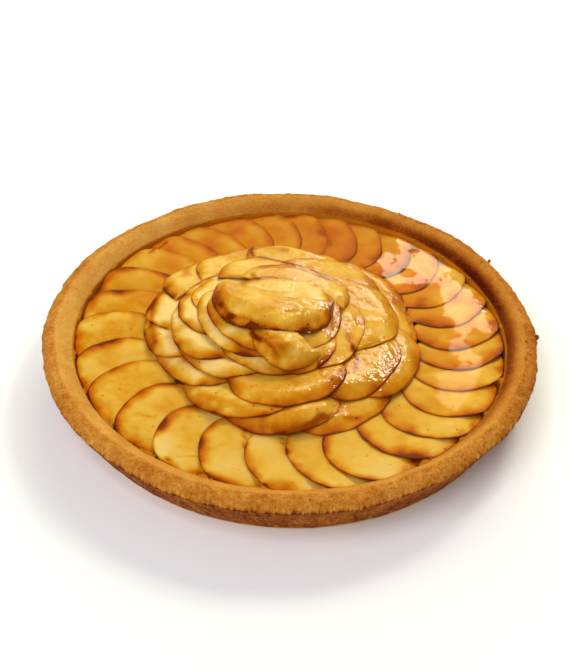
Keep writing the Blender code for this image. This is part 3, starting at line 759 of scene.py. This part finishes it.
ring_material = apple_material("baked_apple", 0.12, 0.0003, (
    (0.0, (0.73, 0.54, 0.190)), (0.20, (0.70, 0.455, 0.075)), (0.40, (0.60, 0.295, 0.015))))
rose_material = apple_material("glazed_apple", 0.20, 0.0016, (
    (0.0, (0.88, 0.595, 0.190)), (0.20, (0.73, 0.405, 0.040)), (0.40, (0.64, 0.262, 0.009))))
rose_edges = [shape[3] for _, shape in rose_shapes]
for ring_number, shape in enumerate(ring_shapes):
    next_edges = [ring_shapes[(ring_number + k) % len(ring_shapes)][3] for k in (1, 2, 3)]
    # Painted shade with the browning: towards the front the rounded edges face away from the lamp, so the
    # edge browning and the lap lines are painted stronger there.
    frontness = 0.5 - 0.5 * math.cos(math.radians(RING_EDGES[ring_number] + 8.0 - 75.0))
    finish_slice(f"ring_slice_{ring_number + 1:02d}", shape, next_edges + rose_edges,
                 tone=0.52 - 0.40 * frontness, edge_brown_and_shade=0.22 + 0.44 * frontness, seed=ring_number,
                 material=ring_material, spread=0.0034,
                 lap_syrup_and_shade=0.20 + 0.25 * frontness, glaze_cover=0.05)
for petal_index, (node, shape) in enumerate(rose_shapes):
    middle = shape[0][..., :2].mean(axis=(0, 1))
    leftness = 0.5 - 0.5 * math.cos(math.atan2(middle[1], middle[0]) + 0.25)
    tone = (0.33 - 0.31 * leftness + 0.14 * ease(middle[1], 0.01, 0.05)
            + 0.12 * ease(-middle[1], 0.03, 0.06) + 0.20 * (node == "bud_cap"))
    edge_brown_and_shade = 0.15 if node == "bud_tongue" else 0.26 + 0.42 * leftness
    finish_slice(node, shape, rose_edges[petal_index + 1:], tone, edge_brown_and_shade,
                 seed=ROSE_SEED + petal_index, material=rose_material,
                 spread=0.0036, lap_syrup_and_shade=0.38, glaze_cover=0.9)


# ---------------------------------------------------------------------------------- glaze
# Clear apricot glaze, poured warm over the fruit: it levels out over the ring up to the lip of the
# case, sets to a thin glossy film, and is darker where it stands deeper between the slices.
GLAZE_LEVEL = 0.0237
GLAZE_INNER = 0.0560
GLAZE_OUTER = 0.1149
GLAZE_STEPS = (720, 66)
GLAZE_EDGE = 0.0050
GLAZE_RIPPLE = 0.00012
FRUIT_LEVEL = 0.0220
FRUIT_LIMIT = 0.0020
BLUR_CELLS = 4
DEEP = 0.0035
MURKY = (0.0032, 0.0050)
DRY_RADIUS = 0.0900
SPOT_REACH = 0.0070
LIP_GAP = 0.0001
WALL_DRY = (0.0040, 0.0075)
WALL_DRY_LEFT = 0.0070


def glaze_material():
    """A clear film, tinted amber by its depth and cloudy by the murk value.  It mirrors by Fresnel's law
    times the wet value, which is low where the fruit has soaked the glaze up."""
    material, nodes, links, shader = new_material("amber_glaze")
    nodes.remove(shader)
    depth, wet, murk = (piece_value(nodes, label) for label in ("depth", "wet", "murk"))
    tint = baking_colours(nodes, ((0.0, (1.0, 0.99, 0.95)), (1.0, (0.97, 0.84, 0.50))))
    clear = nodes.new("ShaderNodeBsdfTransparent")
    gloss = nodes.new("ShaderNodeBsdfGlossy")
    gloss.inputs["Roughness"].default_value = 0.05
    place = nodes.new("ShaderNodeTexCoord")
    ripple = noise_texture(nodes, 110.0, 5.0)
    bump = bump_map(nodes, 0.30, 0.0010)
    mirror = nodes.new("ShaderNodeFresnel")
    mirror.inputs["IOR"].default_value = 1.45
    shine = sum_step(nodes, "MULTIPLY")
    cloud = nodes.new("ShaderNodeBsdfDiffuse")
    cloud.inputs["Color"].default_value = (0.52, 0.19, 0.012, 1.0)
    body = nodes.new("ShaderNodeMixShader")
    whole = nodes.new("ShaderNodeAddShader")
    join_up(links, (
        (depth, "Fac", tint, "Fac"), (tint, "Color", clear, "Color"),
        (place, "Object", ripple, "Vector"), (ripple, "Fac", bump, "Height"),
        (bump, "Normal", gloss, "Normal"), (bump, "Normal", mirror, "Normal"),
        (mirror, "Fac", shine, 0), (wet, "Fac", shine, 1), (shine, 0, gloss, "Color"),
        (murk, "Fac", body, "Fac"), (clear, "BSDF", body, 1), (cloud, "BSDF", body, 2),
        (body, "Shader", whole, 0), (gloss, "BSDF", whole, 1),
        (whole, "Shader", nodes["Material Output"], "Surface")))
    return material


def blurred(field, cells):
    """Mean over a square of 2 x cells + 1 on each side, taken twice."""
    for axis in (0, 1, 0, 1):
        padded = np.pad(field, [(cells, cells) if k == axis else (0, 0) for k in (0, 1)], mode="edge")
        total = np.cumsum(padded, axis=axis)
        total = np.concatenate([np.zeros_like(total.take([0], axis=axis)), total], axis=axis)
        size = field.shape[axis]
        field = (total.take(range(2 * cells + 1, 2 * cells + 1 + size), axis=axis)
                 - total.take(range(size), axis=axis)) / (2 * cells + 1)
    return field


def build_glaze():
    """A ring-shaped height field: the glaze level, a share of the blurred fruit below, and ripples, all
    eased down to the lip at the wall.  Depth and murk follow the height over the fruit; wet is high on
    the right, outside a bound set by the turn and by noise, and fades out at the wall."""
    azimuth = np.linspace(0.0, 2.0 * math.pi, GLAZE_STEPS[0], endpoint=False)[:, None]
    radius = np.linspace(GLAZE_INNER, GLAZE_OUTER, GLAZE_STEPS[1])[None, :]
    x, y = radius * np.cos(azimuth), radius * np.sin(azimuth)
    cell = (map_cell(x), map_cell(y))
    fruit = ring_pile[cell]
    soft = blurred(ring_pile, BLUR_CELLS)[cell]
    place = np.stack([x, y, np.zeros_like(x)], axis=-1)
    height = (GLAZE_LEVEL + 0.30 * (soft - FRUIT_LEVEL).clip(-FRUIT_LIMIT, FRUIT_LIMIT)
              + GLAZE_RIPPLE * rough_noise(place, 0.020, 71, 3))
    height = height + (LIP_HEIGHT - LIP_GAP - height) * ease(radius, GLAZE_OUTER - GLAZE_EDGE, GLAZE_OUTER)
    depth = ((height - fruit) / DEEP).clip(0.0, 1.0)
    murk = 0.75 * ease(height - fruit, *MURKY)
    turn = np.degrees(azimuth)
    turn = turn - 360.0 * (turn > 180.0)
    away = ease(turn, 52.0, 60.0) + 1.0 - ease(turn, -42.0, -34.0)
    dry_edge = DRY_RADIUS - 0.0120 * ease(turn, 26.0, 40.0) + DRY_RADIUS * away
    spots = rough_noise(place, 0.0110, 83, 5)
    wet = ease(radius - dry_edge + SPOT_REACH * spots, -0.0008, 0.0008) * ease(spots, -0.55, -0.35)
    wet = 0.05 + (0.45 + 0.85 * ease(turn, -40.0, 30.0)) * wet
    wall_gap = GLAZE_OUTER - radius - WALL_DRY_LEFT * ease(-turn, -6.0, 6.0)
    wet = wet * ease(wall_gap, *WALL_DRY)
    points = np.stack([x, y, height], axis=-1)
    values = {"depth": depth.ravel(), "murk": murk.ravel(), "wet": wet.ravel()}
    return points, round_faces(*GLAZE_STEPS), values


glaze_points, glaze_faces, glaze_values = build_glaze()
link_piece("ring_glaze", glaze_points, glaze_faces, glaze_values, glaze_material(), [])


# ---------------------------------------------------------------------------------- crumbs
# Crumbs of the same dough cling to the rim where it was trimmed.  Most are as fine as meal; on the
# right stick out one large crumb and a pair that has stayed together.
SMALL_CRUMBS = 90
SMALL_SIZE = 0.00045
CRUMB_GRAIN = 0.0006
CRUMB_STEPS = (8, 5)
# Each large crumb: degrees round the rim, distance from the axis, height and size.
BIG_CRUMBS = ((29.3, 0.1308, 0.0268, 0.0012), (-1.3, 0.1310, 0.0258, 0.0015),
              (-2.3, 0.1308, 0.0240, 0.0009))


def build_crumbs():
    """Lumpy balls: unit spheres stretched at random, with noise on the radius."""
    rng = np.random.default_rng(11)
    spin = np.linspace(0.0, 2.0 * math.pi, CRUMB_STEPS[0], endpoint=False)
    tilt = np.linspace(0.0, math.pi, CRUMB_STEPS[1] + 2)[1:-1]
    ball = np.stack([np.outer(np.sin(tilt), np.cos(spin)), np.outer(np.sin(tilt), np.sin(spin)),
                     np.outer(np.cos(tilt), np.ones_like(spin))], axis=-1).reshape(-1, 3)
    ball = np.concatenate([ball, [[0.0, 0.0, 1.0], [0.0, 0.0, -1.0]]])
    azimuth = rng.uniform(-100.0, 60.0, SMALL_CRUMBS)
    share = rng.uniform(0.0, 1.0, SMALL_CRUMBS)
    small = np.stack([azimuth, CREST_RADIUS + share * 0.0068, CREST_HEIGHT + 0.0002 - 0.0040 * share ** 2,
                      SMALL_SIZE * rng.uniform(0.5, 1.3, SMALL_CRUMBS)], axis=-1)
    azimuth, radius, height, size = np.concatenate([BIG_CRUMBS, small]).T
    azimuth = np.radians(azimuth)
    centre = np.stack([radius * np.cos(azimuth), radius * np.sin(azimuth), height], axis=-1)[:, None]
    shape = ball[None] * size[:, None, None] * rng.uniform(0.7, 1.2, (len(size), 1, 3))
    lumpy = 1.0 + 0.35 * lattice_noise(shape + 7.0 * centre, CRUMB_GRAIN, 3)
    points = centre + shape * lumpy[..., None]
    spins, rows = CRUMB_STEPS
    here = np.arange(rows - 1)[:, None] * spins + np.arange(spins)
    following = (np.arange(spins) + 1) % spins
    beside = np.arange(rows - 1)[:, None] * spins + following
    quads = np.stack([here, here + spins, beside + spins, beside], axis=-1).reshape(-1, 4)
    top = np.stack([np.full(spins, rows * spins), np.arange(spins), following], axis=-1)
    last_row = (rows - 1) * spins
    bottom = np.stack([last_row + following, last_row + np.arange(spins),
                       np.full(spins, rows * spins + 1)], axis=-1)
    faces = []
    for number in range(len(size)):
        for block in (quads, top, bottom):
            faces += (block + number * len(ball)).tolist()
    bake_and_shade = np.repeat(rng.uniform(0.35, 0.75, len(size)), len(ball))
    return points.reshape(-1, 3), faces, {"bake_and_shade": bake_and_shade}


crumb_points, crumb_faces, crumb_values = build_crumbs()
link_piece("shortcrust_crumbs", crumb_points, crumb_faces, crumb_values, crust.data.materials[0],
           [])


# ---------------------------------------------------------------------------------- room and camera
# A pale table under soft studio light: a broad window behind the tart, a smaller and brighter light
# behind it on the right, and a wide soft light from the front left that no gloss mirrors.
FLOOR_SIZE = 6.0
FLOOR_DROP = 0.0002
# Where the camera looks, from how far and how steeply, and its roll in radians.
CAMERA_TARGET = (-0.0024, 0.0236, 0.0)
CAMERA_DISTANCE = 0.6086
CAMERA_ELEVATION = math.radians(39.64)
CAMERA_ROLL = 0.0298
FOCAL_LENGTH = 57.73


def floor_material():
    """Pale matte table."""
    material, _, _, shader = new_material("pale_table")
    shader.inputs["Base Color"].default_value = (0.97, 0.97, 0.97, 1.0)
    shader.inputs["Roughness"].default_value = 0.8
    return material


def area_light(name, azimuth, elevation, distance, size, watts, colour):
    """Soft rectangle of light that faces the tart; azimuth 0 is behind it, turning towards +X."""
    light = bpy.data.lights.new(name, "AREA")
    light.shape = "RECTANGLE"
    light.size, light.size_y = size
    light.energy = watts
    light.color = colour
    lamp = bpy.data.objects.new(name, light)
    turn, rise = math.radians(azimuth), math.radians(elevation)
    lamp.location = distance * np.array((math.sin(turn) * math.cos(rise), math.cos(turn) * math.cos(rise),
                                         math.sin(rise)))
    lamp.rotation_euler = (0.5 * math.pi - rise, 0.0, math.pi - turn)
    bpy.context.scene.collection.objects.link(lamp)
    return lamp


floor_mesh = bpy.data.meshes.new("table")
half = 0.5 * FLOOR_SIZE
floor_corners = [(-half, -half, 0.0), (half, -half, 0.0), (half, half, 0.0), (-half, half, 0.0)]
floor_mesh.from_pydata(floor_corners, [], [(0, 1, 2, 3)])
floor_mesh.materials.append(floor_material())
table = bpy.data.objects.new("table", floor_mesh)
table.location.z = -FLOOR_DROP
bpy.context.scene.collection.objects.link(table)

area_light("window", 5.0, 30.0, 1.6, (0.80, 1.20), 12.0, (0.94, 1.0, 0.70))
area_light("key", 32.0, 42.0, 1.9, (0.45, 0.45), 14.0, (1.0, 0.95, 0.74))
fill = area_light("front_fill", 215.0, 55.0, 2.2, (1.8, 1.4), 35.0, (0.97, 0.96, 1.0))
fill.visible_glossy = False

world = bpy.data.worlds.new("studio")
world.use_nodes = True
world.node_tree.nodes["Background"].inputs["Color"].default_value = (1.0, 0.98, 0.95, 1.0)
world.node_tree.nodes["Background"].inputs["Strength"].default_value = 0.25
world.cycles_visibility.glossy = False
bpy.context.scene.world = world
bpy.context.scene.view_settings.view_transform = "Standard"

camera_data = bpy.data.cameras.new("camera")
camera_data.lens = FOCAL_LENGTH
camera_data.sensor_width = 36.0
camera_data.clip_start = 0.01
camera = bpy.data.objects.new("camera", camera_data)
backward = np.array((0.0, -math.cos(CAMERA_ELEVATION), math.sin(CAMERA_ELEVATION)))
upward = np.array((0.0, math.sin(CAMERA_ELEVATION), math.cos(CAMERA_ELEVATION)))
right = np.array((1.0, 0.0, 0.0))
camera_x = math.cos(CAMERA_ROLL) * right + math.sin(CAMERA_ROLL) * upward
camera_y = -math.sin(CAMERA_ROLL) * right + math.cos(CAMERA_ROLL) * upward
spot = np.array(CAMERA_TARGET) + CAMERA_DISTANCE * backward
matrix = np.eye(4)
matrix[:3, 0], matrix[:3, 1], matrix[:3, 2], matrix[:3, 3] = camera_x, camera_y, backward, spot
camera.matrix_world = matrix.T.tolist()
bpy.context.scene.collection.objects.link(camera)
bpy.context.scene.camera = camera
